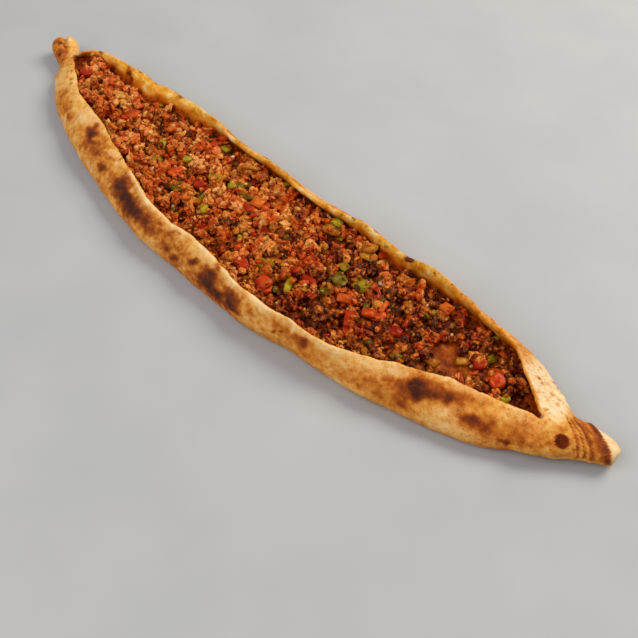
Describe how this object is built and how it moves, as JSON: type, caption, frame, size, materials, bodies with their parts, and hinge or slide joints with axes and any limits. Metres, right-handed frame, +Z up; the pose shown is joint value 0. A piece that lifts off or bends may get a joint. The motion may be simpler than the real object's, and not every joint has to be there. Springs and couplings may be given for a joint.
{
  "type": "turkish pide",
  "caption": "Long boat-shaped flatbread with folded-up walls and pinched ends, filled with minced meat, diced peppers and onion.",
  "frame": {"origin": "under the middle of the bread's bounding box, on the surface that it rests on", "axes": "+X along the bread from the knob end to the fan end, +Y across it away from the wall that leans in over the filling, +Z up"},
  "size_m": [0.4822, 0.104, 0.0234],
  "materials": {
    "crust": "baked dough, pale gold with brown and charred spots",
    "filling": "oily minced meat",
    "red_pepper": "cooked red pepper, wet",
    "green_pepper": "cooked green pepper, wet",
    "onion": "cooked onion, wet and translucent"
  },
  "bodies": {
    "root": {"crust": "crust", "filling": "filling", "red_pepper_01": "red_pepper", "red_pepper_02": "red_pepper", "red_pepper_03": "red_pepper", "red_pepper_04": "red_pepper", "red_pepper_05": "red_pepper", "red_pepper_06": "red_pepper", "red_pepper_07": "red_pepper", "red_pepper_08": "red_pepper", "red_pepper_09": "red_pepper", "red_pepper_10": "red_pepper", "red_pepper_11": "red_pepper", "red_pepper_12": "red_pepper", "red_pepper_13": "red_pepper", "red_pepper_14": "red_pepper", "red_pepper_15": "red_pepper", "green_pepper_01": "green_pepper", "green_pepper_02": "green_pepper", "green_pepper_03": "green_pepper", "green_pepper_04": "green_pepper", "green_pepper_05": "green_pepper", "green_pepper_06": "green_pepper", "onion_01": "onion", "onion_02": "onion", "onion_03": "onion"}
  },
  "joints": []
}
